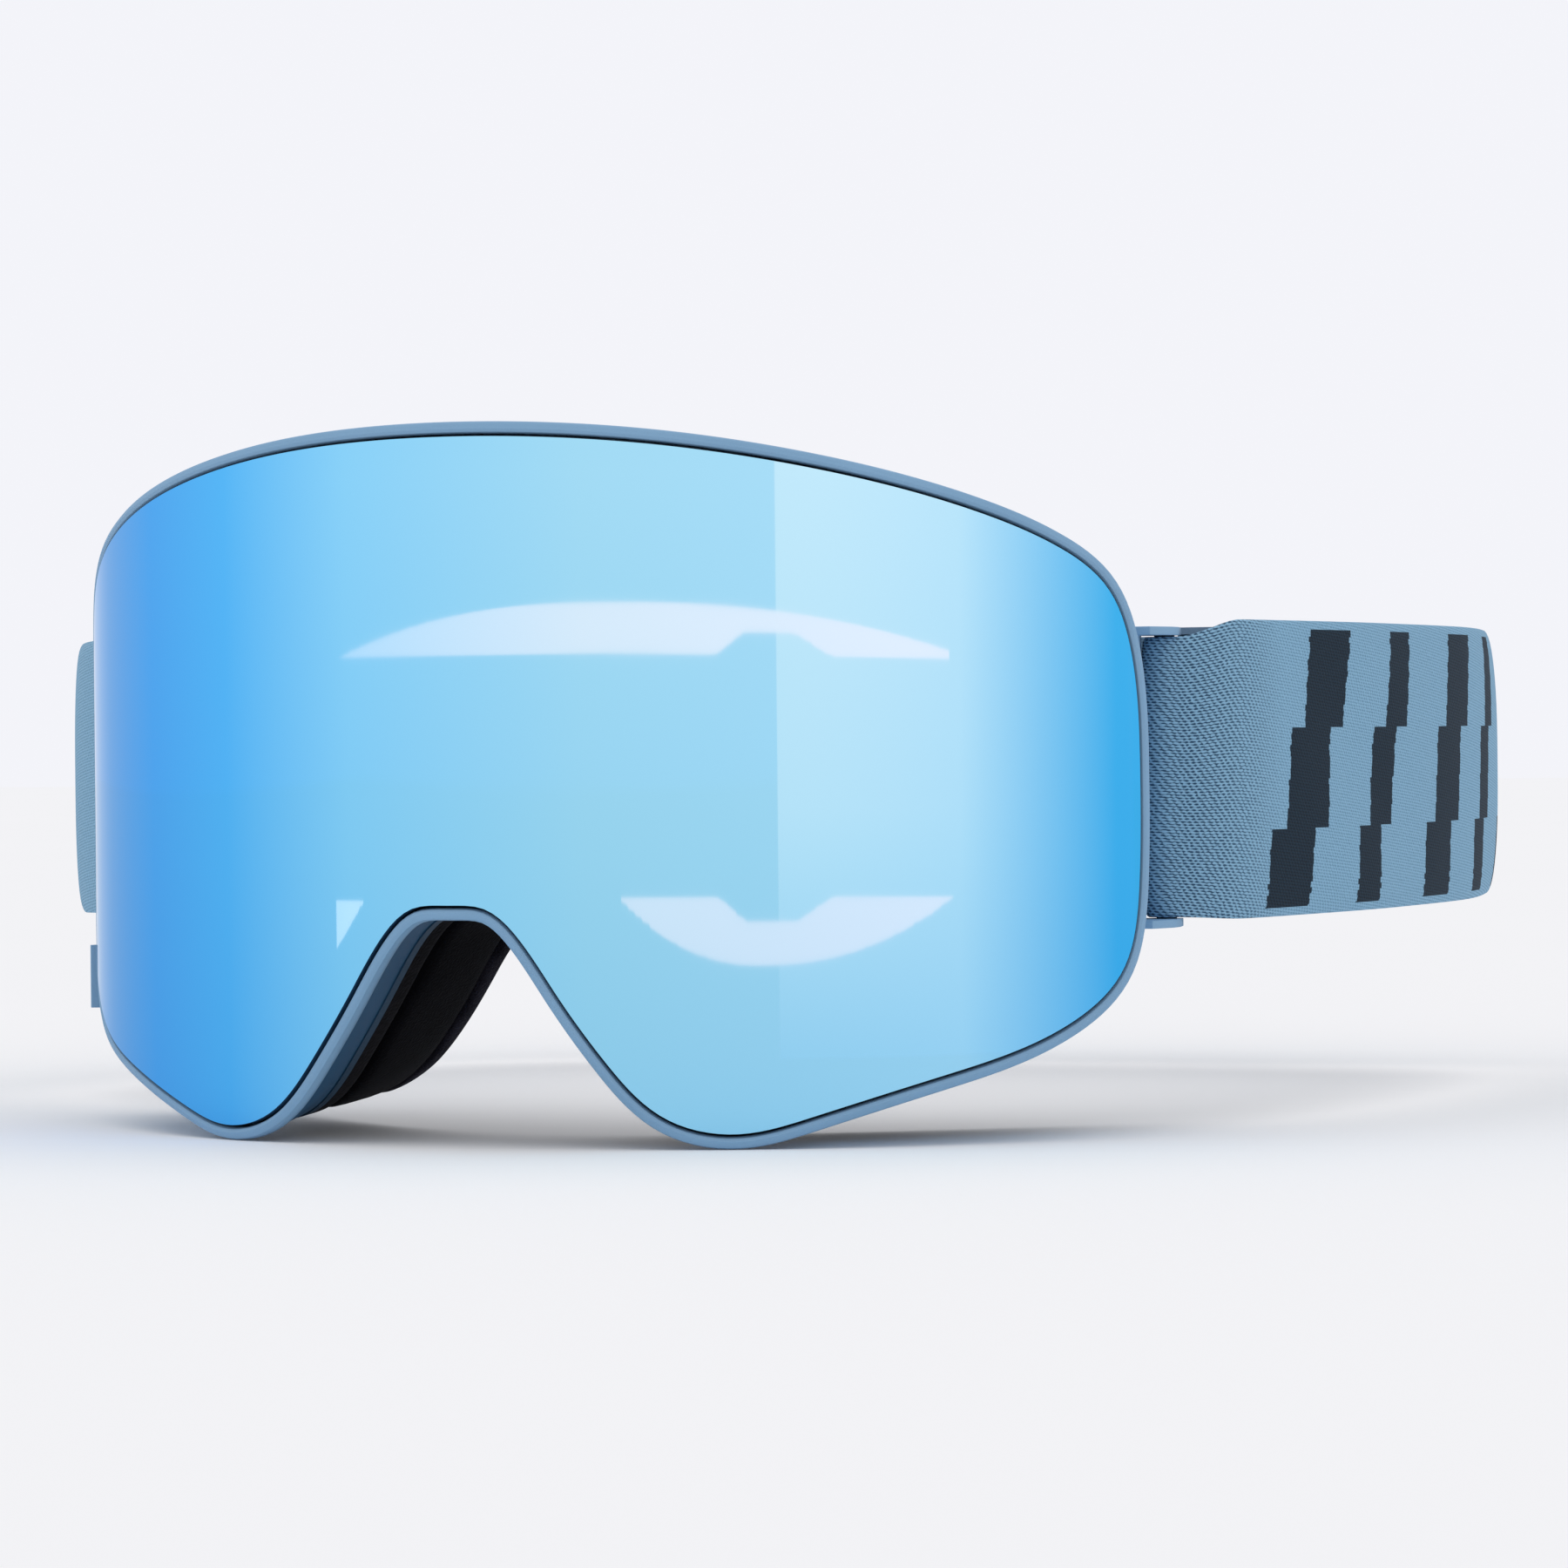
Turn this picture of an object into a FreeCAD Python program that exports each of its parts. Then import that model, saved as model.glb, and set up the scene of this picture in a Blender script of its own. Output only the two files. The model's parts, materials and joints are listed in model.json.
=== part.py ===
import FreeCAD
import Part
import math
import os

# Ski goggles with a cylindrical snap-in lens. Millimetres, +Z up, lens towards -Y.
# Shapes are drawn about the lens cylinder's axis, then moved so that the
# origin is the middle of the footprint on the floor.

V = FreeCAD.Vector
UP = V(0, 0, 1)

# Driving dimensions
lensRadius = 100.0          # outer face of the lens, a cylinder with a vertical axis
rimWidth = 2.1              # rim seen from the front, outside the lens
floorLift = 2.24            # lowest point of the lens above the floor
lensGap = 0.35              # seam between the lens and the rim
outerLens = 1.2             # thickness of the mirrored panel
innerLens = 0.8             # thickness of the anti-fog panel
lensStack = 5.0             # mirrored face to the back of the lens carrier
ledgeFront = 94.5           # radius of the ledge that the carrier sits on
ledgeBack = 93.0
faceDepth = 37.0            # lens to the rear of the foam, over the nose
faceBow = 0.0096            # the face side curves back by this times x squared
frameEnd = 0.44             # share of the depth where the hard frame ends, and this
noseShare = 0.22            # much less over the nose
cheekLift = 7.5             # the rear of the foam stands higher than the rim's lobes
webWidth = 43.8             # strap webbing
webThick = 1.8
strapHeight = 52.2          # middle of the strap above the floor
anchorX, anchorY = 79.8, -26.0  # upright bar that the strap is folded round
axisX, axisY = 17.9, -20.1  # place of the lens cylinder's axis in the part's frame

# Half of the lens outline: distance round the cylinder from the middle, height
lensHalf = [
    (0, 98.0), (31, 96.3), (52, 93.0), (78, 86.3), (89.2, 81.9), (98, 75.6),
    (101.9, 66), (103.1, 50), (102.8, 34), (99.9, 22), (91.4, 14.8), (71, 7.6),
    (52, 2.1), (42.5, 0), (31.5, 2.4), (23.5, 10), (16.5, 19.4), (11.5, 26.6),
    (5.5, 31.6), (0, 32),
]
outlineSteps = 96


def lensSpline():
    right = [V(s, z + floorLift, 0) for s, z in lensHalf]
    left = [V(-p.x, p.y, 0) for p in reversed(right[1:-1])]
    spline = Part.BSplineCurve()
    spline.interpolate(Points=right + left, PeriodicFlag=True)
    return spline


def outlineSamples():
    # point and outward normal, evenly spaced round the lens outline from the top middle
    spline = lensSpline()
    samples = []
    for point in spline.discretize(Number=outlineSteps + 1)[:-1]:
        tangent = spline.tangent(spline.parameter(point))[0]
        samples.append((point, V(-tangent.y, tangent.x, 0)))
    return samples


samples = outlineSamples()


def onLens(radius):
    # places an outline point on a cylinder of this radius
    def place(s, z):
        turn = s / lensRadius
        return V(radius * math.sin(turn), -radius * math.cos(turn), z)
    return place


def towardsFace(share, nose=0.0):
    # places an outline point between the lens (0) and the rear of the foam (1);
    # over the nose it is nearer the lens by the share given as nose
    def place(s, z):
        byNose = 1 / (1 + (s / 46) ** 6) / (1 + (z / 52) ** 8)
        deep = share - nose * byNose
        front = lensRadius * math.sin(s / lensRadius)
        x = front * (1 - 0.29 * deep + 0.095 * deep ** 2)
        yLens = -math.sqrt(lensRadius ** 2 - front ** 2)
        yFace = -lensRadius + faceDepth + faceBow * x ** 2
        lift = cheekLift * deep * byNose * max(0, 1 - z / 45) ** 2
        return V(x, yLens * (1 - deep) + yFace * deep, z * (1 - 0.07 * deep) + lift)
    return place


def loop(offset, place, stretches=1):
    # closed curve at this distance outside the lens outline, in this many edges
    points = []
    for point, normal in samples:
        moved = point + normal * offset
        points.append(place(moved.x, moved.y))
    curve = Part.BSplineCurve()
    curve.interpolate(Points=points, PeriodicFlag=True)
    ends = [curve.parameter(p) for p in points[::outlineSteps // stretches]]
    ends = [curve.FirstParameter] + ends[1:] + [curve.LastParameter]
    return [curve.toShape(a, b) for a, b in zip(ends, ends[1:])]


def stretch(offset, place, first, last):
    # open curve over some of the outline's steps, clockwise from the top middle
    points = []
    for i in range(first, last + 1):
        point, normal = samples[i % outlineSteps]
        moved = point + normal * offset
        points.append(place(moved.x, moved.y))
    curve = Part.BSplineCurve()
    curve.interpolate(Points=points)
    return curve.toShape()


def closed(faces):
    shell = Part.makeShell(faces)
    shell.sewShape()
    solid = Part.makeSolid(Part.Shell(shell.Faces))
    if solid.Volume < 0:
        solid.reverse()
    return solid


def ring(section, stretches=1):
    # solid ring through closed curves, one for each corner of its section
    curves = [loop(offset, place, stretches) for offset, place in section]
    faces = []
    for first, second in zip(curves, curves[1:] + curves[:1]):
        faces += [Part.makeRuledSurface(a, b) for a, b in zip(first, second)]
    return closed(faces)


def strip(section, first, last):
    # part of a ring, with flat ends; its section has four corners
    curves = [stretch(offset, place, first, last) for offset, place in section]
    faces = [Part.makeRuledSurface(a, b) for a, b in zip(curves, curves[1:] + curves[:1])]
    for end in (0, 1):
        corners = [c.valueAt(c.ParameterRange[end]) for c in curves]
        edges = [Part.makeLine(a, b) for a, b in zip(corners, corners[1:] + corners[:1])]
        faces.append(Part.makeRuledSurface(edges[0], Part.makeLine(corners[3], corners[2])))
    return closed(faces)


def panel(offset, outer, inner):
    # curved lens panel: a tube, cut free all round by a thin wall square to its surface
    tube = Part.makeCylinder(outer, 120, V(0, 0, -8)).cut(
        Part.makeCylinder(inner, 120, V(0, 0, -8)))
    front, rear = onLens(outer + 1.5), onLens(inner - 1.5)
    wall = ring([(offset, front), (offset + 1.5, front), (offset + 1.5, rear), (offset, rear)])
    cutFree = tube.cut(wall)
    return min(cutFree.Solids, key=lambda solid: solid.BoundBox.ZLength)


def curvedRing(outerOffset, innerOffset, outer, inner):
    return ring([(outerOffset, onLens(outer)), (outerOffset, onLens(inner)),
                 (innerOffset, onLens(inner)), (innerOffset, onLens(outer))])


def turnedBox(length, depth, height, radius, angle, z):
    # box centred at this radius and angle round the lens axis, length along the rim
    box = Part.makeBox(length, depth, height, V(-length / 2, -radius - depth / 2, z - height / 2))
    box.rotate(V(0, 0, 0), UP, angle)
    return box


def group(shapes):
    return Part.makeCompound(shapes)


# ---- hard frame ----
ventAngles = [-44, -26.4, -8.8, 8.8, 26.4, 44]
lowVentAngles = [-47, -38, 38, 47]


def ventCutters():
    top = [turnedBox(17, 4.2, 30, 87.2, a, 96.2 - abs(a) / 9) for a in ventAngles]
    low = [turnedBox(10, 4.2, 26, 85.5, a, 5.2) for a in lowVentAngles]
    return group(top + low)


def frameShell():
    section = [
        (lensGap, onLens(99.6)), (1.2, onLens(100.0)), (rimWidth, onLens(99.0)),
        (rimWidth, onLens(97.8)), (1.4, onLens(96.9)), (0.9, towardsFace(frameEnd, noseShare)),
        (-1.1, towardsFace(frameEnd, noseShare)), (-0.2, onLens(ledgeBack)),
        (-4.5, onLens(ledgeBack)), (-4.5, onLens(ledgeFront)), (lensGap, onLens(ledgeFront)),
    ]
    return ring(section, 16).cut(ventCutters())


def faceFrame():
    a, b = towardsFace(frameEnd + 0.003, noseShare), towardsFace(frameEnd + 0.045, noseShare)
    return ring([(1.1, a), (1.1, b), (-6.5, b), (-6.5, a)])


def ventFoam(first, last):
    front, rear = onLens(ledgeBack - 1.8), towardsFace(frameEnd - 0.05, noseShare)
    return strip([(-1.5, front), (-2.0, rear), (-4.4, rear), (-4.0, front)], first, last)


# ---- lens group, pulled off forwards ----
def lensCarrier():
    return curvedRing(-0.2, -3.4, lensRadius - outerLens - 0.05, lensRadius - lensStack)


def lensGasket():
    return curvedRing(-3.6, -7.6, lensRadius - outerLens - 0.05, 96.05)


def innerPanel():
    return panel(-3.6, 96.0, 96.0 - innerLens)


magnetSteps = [4, 14, 34, 62, 82, 92]


def magnets(place, depth):
    # flat bars spaced round the rim, half way across the carrier
    bars = []
    for step in magnetSteps:
        point, normal = samples[step]
        spot = point - normal * 1.8
        centre = place(spot.x, spot.y)
        bar = Part.makeBox(6, depth, 1.9, V(-3, -depth / 2, -0.95))
        lean = math.degrees(math.atan2(-normal.x, normal.y))
        bar.rotate(V(0, 0, 0), V(0, 1, 0), -lean)
        bar.rotate(V(0, 0, 0), UP, math.degrees(math.atan2(centre.x, -centre.y)))
        bar.translate(centre)
        bars.append(bar)
    return group(bars)


# ---- face foam ----
def foamLayer(front, rear, outside, inside):
    return ring([(outside, front), (outside, rear), (inside, rear), (inside, front)])


# ---- release lever on the wearer's right, pivoting on a pin in two ears ----
leverLow, leverHigh = 16.9, 26.5
pinX, pinY, pinRadius = -82.2, -31.6, 0.8
knuckle = 1.5


def plan(points, low, high):
    # solid between two heights over an outline seen from above
    outline = Part.makePolygon([V(x, y, low) for x, y in points + points[:1]])
    return Part.Face(outline).extrude(V(0, 0, high - low))


def leverBracket(core):
    # two ears for the pin on a web against the frame's side wall
    outline = [(-68, -36), (-76, -42), (-82.9, -33.3), (-83.9, -31.2), (-81.4, -29.8), (-70, -25)]
    low, high = leverLow - 0.3, leverHigh + 0.3
    body = plan(outline, low - 1.2, low).fuse(plan(outline, high, high + 1.2))
    body = body.fuse(plan([(-68, -36), (-76, -42), (-79.2, -34.4), (-79.2, -28.8), (-70, -25)],
                          low, high))
    body = body.cut(core).cut(Part.makeCylinder(pinRadius, 20, V(pinX, pinY, 10)))
    return min(body.Solids, key=lambda solid: solid.CenterOfMass.x)


def releaseLever():
    arm = plan([(-82.6, -32.6), (-87.3, -42.2), (-87.3, -47.6), (-88.6, -48.3), (-89.4, -47.2),
                (-89.3, -41.6), (-83.6, -31.0)], leverLow, leverHigh)
    hub = Part.makeCylinder(knuckle, leverHigh - leverLow, V(pinX, pinY, leverLow))
    return arm.fuse(hub).cut(Part.makeCylinder(pinRadius + 0.04, 40, V(pinX, pinY, 0)))


def leverPin():
    return Part.makeCylinder(pinRadius, leverHigh - leverLow + 3, V(pinX, pinY, leverLow - 1.5))


# ---- strap anchors; sign is +1 for the wearer's left, -1 for the right ----
barRadius = 1.5
lugThick = 1.2
sewnHigh, sewnLow = 19.4, 21.5      # edges of the sewn end above and below the strap's middle


def side(shape, sign):
    if sign > 0:
        return shape
    return shape.mirror(V(0, 0, 0), V(1, 0, 0))


def frameCore():
    # everything inside the frame's side wall, which the lugs must stay out of
    return ring([(2.15, onLens(98.6)), (2.15, onLens(97.75)), (1.45, onLens(96.85)),
                 (0.95, towardsFace(frameEnd, noseShare)),
                 (1.25, towardsFace(frameEnd + 0.003, noseShare)), (1.4, towardsFace(0.95)),
                 (-8, towardsFace(0.95)), (-8, onLens(98.6))])


def outrigger(sign, core):
    # two lugs that hold the bar, joined by a web against the frame's side wall
    outline = [(70, -37), (81.8, -36.8), (83, -31), (82.6, -27.4), (81.6, -23.9), (78.6, -23.7),
               (72, -25)]
    low, high = strapHeight - sewnLow - 0.2, strapHeight + sewnHigh + 0.2
    body = plan(outline, low - lugThick, low)
    body = body.fuse(plan(outline, high, high + lugThick))
    body = body.fuse(plan([(70, -37), (79.3, -35.6), (76.8, -27.6), (70, -26)], low, high))
    body = body.cut(core)
    body = body.cut(Part.makeCylinder(barRadius, 70, V(anchorX, anchorY, strapHeight - 35)))
    outer = max(body.Solids, key=lambda solid: solid.CenterOfMass.x)
    return side(outer, sign)


def anchorBar(sign):
    below, above = sewnLow + 0.2 + lugThick, sewnHigh + 0.2 + lugThick
    bar = Part.makeCylinder(barRadius, below + above, V(anchorX, anchorY, strapHeight - below))
    return side(bar, sign)


# ---- strap: level webbing, its route seen from above in arcs and straights ----
def along(heading):
    # headings are degrees from +Y towards -X
    return V(-math.sin(math.radians(heading)), math.cos(math.radians(heading)), 0)


def leftOf(heading):
    return along(heading + 90)


class Route:
    def __init__(self, start):
        self.at = V(start[0], start[1], 0)
        self.pieces = []

    def line(self, length, heading):
        self.pieces.append((self.at, length, heading))
        self.at = self.at + along(heading) * length
        return self

    def arc(self, radius, into, out):
        turn = 1 if out > into else -1
        centre = self.at + leftOf(into) * (radius * turn)
        self.pieces.append((centre, radius, into, out, turn))
        self.at = centre - leftOf(out) * (radius * turn)
        return self

    def edge(self, piece, shift):
        # one piece of the route, moved sideways to its left
        if len(piece) == 3:
            start, length, heading = piece
            a = start + leftOf(heading) * shift
            return Part.makeLine(a, a + along(heading) * length)
        centre, radius, into, out, turn = piece
        r = (radius - shift * turn) * turn
        ends = [centre - leftOf(h) * r for h in (into, (into + out) / 2, out)]
        return Part.Arc(*ends).toShape()

    def band(self, low, high, inner, outer):
        # solid between two heights and two sideways shifts
        a = [self.edge(piece, inner) for piece in self.pieces]
        b = [self.edge(piece, outer) for piece in self.pieces]
        first = Part.makeLine(a[0].firstVertex().Point, b[0].firstVertex().Point)
        last = Part.makeLine(a[-1].lastVertex().Point, b[-1].lastVertex().Point)
        face = Part.Face(Part.Wire(Part.__sortEdges__(a + b + [first, last])))
        return face.translated(V(0, 0, low)).extrude(V(0, 0, high - low))

    def webbing(self):
        half = webThick / 2
        return self.band(strapHeight - webWidth / 2, strapHeight + webWidth / 2, -half, half)

    def beads(self, sign):
        # three silicone lines on the side that lies on the head or helmet
        inner, outer = sorted((sign * webThick / 2, sign * (webThick / 2 + beadProud)))
        rows = [strapHeight + row * beadPitch for row in (-1, 0, 1)]
        return [self.band(z - 0.8, z + 0.8, inner, outer) for z in rows]


beadPitch, beadProud = 12.0, 0.5
loopRadius = barRadius + 0.15 + webThick / 2    # webbing's middle, round a bar
leaveLeft, leaveRight = -55, -62                # headings of the strap as it leaves its bars
sewn = 2.0                                      # straight webbing beside each bar
rearRun = 66.0                                  # straight run of the long strap to the ring
tailRun = 36.0                                  # returned ply, from the ring to the slider
ringPitch = 8.6                                 # between the ring's two bars
sliderPitch = 9.0                               # between the slider's three bars
railDeep, railHigh = 9.6, 1.2


def endLoop(heading):
    # webbing folded round the anchor bar, drawn on the +X side
    inner = V(anchorX, anchorY, 0) + leftOf(heading) * loopRadius
    route = Route(inner + along(heading) * sewn)
    route.line(sewn, heading + 180).arc(loopRadius, heading + 180, heading + 360)
    return route.line(sewn, heading)


def buckle(middle, bars, wide):
    # upright bars between a rail above and a rail below the webbing
    low = strapHeight - webWidth / 2 - 0.3
    high = strapHeight + webWidth / 2 + 0.3
    shapes = [Part.makeCylinder(barRadius - 0.1, high - low, middle + V(dx, 0, low)) for dx in bars]
    for z in (low - railHigh, high):
        box = Part.makeBox(wide, railDeep, railHigh, middle + V(-wide / 2, -railDeep / 2, z))
        upright = [edge for edge in box.Edges if abs(edge.tangentAt(edge.FirstParameter).z) > 0.9]
        shapes.append(box.makeFillet(1.2, upright))
    return shapes[0].fuse(shapes[1:]).removeSplitter()


def buildStrap(parts):
    leftLoop, rightLoop = endLoop(leaveLeft), endLoop(leaveRight)
    ends = (strapHeight - sewnLow, strapHeight + sewnHigh, -webThick / 2, webThick / 2)
    parts["strap_end_left"] = leftLoop.band(*ends)
    parts["strap_end_right"] = side(rightLoop.band(*ends), -1)

    leftFlex = Route(leftLoop.at + along(leaveLeft) * 0.3).arc(16, leaveLeft, -6).arc(440, -6, -4)
    parts["strap_flex_left"] = leftFlex.webbing()
    arm = Route(leftFlex.at).arc(440, -4, 6).arc(320, 6, 14)
    parts["silicone_left"] = group(arm.beads(1))
    longStrap = Route(leftFlex.at)
    longStrap.pieces, longStrap.at = list(arm.pieces), arm.at
    longStrap.arc(24, 14, 90).line(rearRun, 90)
    parts["strap_long"] = longStrap.webbing()

    tailStart = longStrap.at + along(90) * 0.3
    ringBar = tailStart + V(0, -loopRadius, 0)
    shortBar = ringBar + V(-ringPitch, 0, 0)
    tail = Route(tailStart).arc(loopRadius, 90, 270).line(tailRun, 270)
    parts["strap_tail"] = tail.webbing()
    parts["strap_ring"] = buckle((ringBar + shortBar) * 0.5, (-ringPitch / 2, ringPitch / 2),
                                 ringPitch + 4)
    sliderMiddle = ringBar + V(tailRun + 1.5, 0, 0)
    parts["slider"] = buckle(sliderMiddle, (-sliderPitch, 0, sliderPitch), 2 * sliderPitch + 4)

    start = V(-rightLoop.at.x, rightLoop.at.y, 0) + along(-leaveRight) * 0.3
    rightFlex = Route(start).arc(150, -leaveRight, 52).arc(60, 52, 30)
    parts["strap_flex_right"] = rightFlex.webbing()
    shortArm = Route(rightFlex.at).arc(60, 30, 0).line(22, 0)
    parts["silicone_right"] = group(shortArm.beads(-1))
    bend = longStrap.at.y - shortArm.at.y
    shortArm.arc(bend, 0, -90)
    shortArm.line(shortBar.x - shortArm.at.x, -90).arc(loopRadius, -90, -270).line(14, -270)
    parts["strap_short"] = shortArm.webbing()
    print("ring bar", ringBar, "slider", sliderMiddle, "bend radius", round(bend, 1))


def main():
    parts = {}
    core = frameCore()
    parts["frame_shell"] = frameShell()
    parts["face_frame"] = faceFrame()
    parts["vent_foam_top"] = ventFoam(-13, 13)
    parts["vent_foam_low_left"] = ventFoam(31, 37)
    parts["vent_foam_low_right"] = ventFoam(-37, -31)
    parts["frame_magnets"] = magnets(onLens(ledgeBack - 0.85), 1.4)
    parts["outer_lens"] = panel(0, lensRadius, lensRadius - outerLens)
    parts["lens_gasket"] = lensGasket()
    parts["inner_lens"] = innerPanel()
    parts["lens_magnets"] = magnets(onLens(lensRadius - lensStack + 0.75), 1.4)
    parts["lens_carrier"] = lensCarrier().cut(parts["lens_magnets"])
    parts["face_foam_base"] = foamLayer(towardsFace(frameEnd + 0.05, noseShare),
                                        towardsFace(0.6, noseShare), 1.0, -7.5)
    parts["face_foam_mid"] = foamLayer(towardsFace(0.603, noseShare), towardsFace(0.9), 1.2, -8.0)
    parts["face_fleece"] = foamLayer(towardsFace(0.903), towardsFace(1.0), 1.0, -7.6)
    for name, sign in (("left", 1), ("right", -1)):
        parts[f"outrigger_{name}"] = outrigger(sign, core)
        parts[f"anchor_bar_{name}"] = anchorBar(sign)
    parts["lever_bracket"] = leverBracket(core)
    parts["release_lever"] = releaseLever()
    parts["lever_pin"] = leverPin()
    buildStrap(parts)

    os.makedirs("parts", exist_ok=True)
    whole = FreeCAD.BoundBox()
    for name, shape in parts.items():
        placed = shape.translated(V(axisX, axisY, 0))
        placed.exportStep(f"parts/{name}.step")
        whole.add(placed.BoundBox)
        print(name, shape.isValid(), len(shape.Solids), round(shape.Volume))
    print(whole)


main()
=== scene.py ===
import json
import math
import bpy
import numpy as np
from mathutils import Matrix, Vector

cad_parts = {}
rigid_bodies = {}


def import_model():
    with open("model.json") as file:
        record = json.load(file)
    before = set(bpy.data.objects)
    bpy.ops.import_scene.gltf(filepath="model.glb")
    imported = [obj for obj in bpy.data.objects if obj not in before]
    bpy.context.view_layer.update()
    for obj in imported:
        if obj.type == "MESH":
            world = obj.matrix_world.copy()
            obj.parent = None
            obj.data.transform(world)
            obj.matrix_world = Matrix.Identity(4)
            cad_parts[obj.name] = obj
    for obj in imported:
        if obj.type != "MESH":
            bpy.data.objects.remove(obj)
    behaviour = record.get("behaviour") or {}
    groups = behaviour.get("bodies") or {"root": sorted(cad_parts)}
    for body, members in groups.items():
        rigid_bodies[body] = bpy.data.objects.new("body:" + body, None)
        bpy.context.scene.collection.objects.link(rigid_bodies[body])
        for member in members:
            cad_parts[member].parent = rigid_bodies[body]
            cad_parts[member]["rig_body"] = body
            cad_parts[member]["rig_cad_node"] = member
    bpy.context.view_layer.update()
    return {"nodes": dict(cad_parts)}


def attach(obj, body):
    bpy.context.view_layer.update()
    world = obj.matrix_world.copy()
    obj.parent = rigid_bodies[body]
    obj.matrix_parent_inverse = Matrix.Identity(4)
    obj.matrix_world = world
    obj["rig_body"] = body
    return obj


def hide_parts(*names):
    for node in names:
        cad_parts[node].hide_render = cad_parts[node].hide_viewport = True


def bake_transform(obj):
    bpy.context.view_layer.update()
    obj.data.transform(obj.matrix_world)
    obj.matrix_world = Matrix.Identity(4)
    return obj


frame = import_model()
nodes = frame["nodes"]
mm = 0.001

# Distances below are millimetres about the lens cylinder's upright axis, with the
# floor at height 0. This is where that axis stands in the part.
axisPlace = Vector((17.9, -20.1, 0))


def place(x, y, z):
    return (Vector((x, y, z)) + axisPlace) * mm


class Value:
    # a shader value; sums on it add Math nodes
    def __init__(self, paint, socket):
        self.paint, self.socket = paint, socket

    def sum(self, operation, left, right=0.0):
        return self.paint.add("ShaderNodeMath", {"operation": operation}, {0: left, 1: right})

    def __add__(self, other):
        return self.sum("ADD", self, other)

    def __radd__(self, other):
        return self.sum("ADD", other, self)

    def __sub__(self, other):
        return self.sum("SUBTRACT", self, other)

    def __rsub__(self, other):
        return self.sum("SUBTRACT", other, self)

    def __mul__(self, other):
        return self.sum("MULTIPLY", self, other)

    def __rmul__(self, other):
        return self.sum("MULTIPLY", other, self)

    def __truediv__(self, other):
        return self.sum("DIVIDE", self, other)

    def __mod__(self, other):
        return self.sum("FLOORED_MODULO", self, other)

    def __gt__(self, other):
        return self.sum("GREATER_THAN", self, other)

    def __lt__(self, other):
        return self.sum("LESS_THAN", self, other)

    def __abs__(self):
        return self.sum("ABSOLUTE", self)

    def floor(self):
        return self.sum("FLOOR", self)

    def sine(self):
        return self.sum("SINE", self)

    def arcsine(self):
        return self.sum("ARCSINE", self)


class Paint:
    # one material with a Principled shader, and the nodes that feed it
    def __init__(self, name, **settings):
        self.material = bpy.data.materials.new(name)
        self.material.use_nodes = True
        self.tree = self.material.node_tree
        self.shader = self.tree.nodes["Principled BSDF"]
        for socket, value in settings.items():
            self.shader.inputs[socket.replace("_", " ")].default_value = value

    def add(self, kind, settings=None, sockets=None, output=0):
        node = self.tree.nodes.new(kind)
        for key, value in (settings or {}).items():
            if key == "stops":
                ramp = node.color_ramp
                while len(ramp.elements) < len(value):
                    ramp.elements.new(0.5)
                for element, (spot, colour) in zip(ramp.elements, value):
                    element.position = spot
                    element.color = (*colour, 1.0)
            elif key == "blend":
                node.color_ramp.interpolation = value
            else:
                setattr(node, key, value)
        for key, value in (sockets or {}).items():
            if isinstance(value, Value):
                self.tree.links.new(value.socket, node.inputs[key])
            else:
                node.inputs[key].default_value = value
        return Value(self, node.outputs[output])

    def position(self):
        return self.add("ShaderNodeTexCoord", output=3)

    def axes(self, spot):
        node = self.tree.nodes.new("ShaderNodeSeparateXYZ")
        self.tree.links.new(spot.socket, node.inputs[0])
        return [Value(self, node.outputs[i]) for i in range(3)]

    def noise(self, spot, scale, detail=2.0, stretch=None):
        if stretch:
            spot = self.add("ShaderNodeMapping", {}, {"Vector": spot, "Scale": stretch})
        return self.add("ShaderNodeTexNoise", {}, {"Vector": spot, "Scale": scale,
                                                   "Detail": detail})

    def ramp(self, value, stops, blend="LINEAR"):
        return self.add("ShaderNodeValToRGB", {"stops": stops, "blend": blend}, {"Fac": value})

    def mix(self, share, first, second, mode="MIX"):
        def colour(c):
            return c if isinstance(c, Value) else (*c, 1.0)
        return self.add("ShaderNodeMix", {"data_type": "RGBA", "blend_type": mode},
                        {0: share, 6: colour(first), 7: colour(second)}, 2)

    def bump(self, height, distance, strength=1.0, below=None):
        sockets = {"Height": height, "Distance": distance, "Strength": strength}
        if below is not None:
            sockets["Normal"] = below
        return self.add("ShaderNodeBump", {}, sockets)

    def feed(self, **sockets):
        for socket, value in sockets.items():
            self.tree.links.new(value.socket, self.shader.inputs[socket.replace("_", " ")])
        return self.material


def grainy(name, colour, grain, roughness, pitch=2500, depth=0.00004, variation=0.12, **settings):
    # plain moulded or coated finish: fine grain, faint cloudiness, duller where it is rubbed
    paint = Paint(name, Roughness=roughness, **settings)
    spot = paint.position()
    fine, cloud = paint.noise(spot, pitch), paint.noise(spot, 60, 3)
    darker = tuple(c * (1 - variation) for c in colour)
    lighter = tuple(min(1.0, c * (1 + variation)) for c in colour)
    tone = paint.ramp(cloud * 0.6 + fine * 0.4, [(0.3, darker), (0.7, lighter)])
    rough = cloud * 0.16 + (roughness - 0.08)
    return paint.feed(Base_Color=tone, Roughness=rough, Normal=paint.bump(fine, depth, grain))


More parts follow.
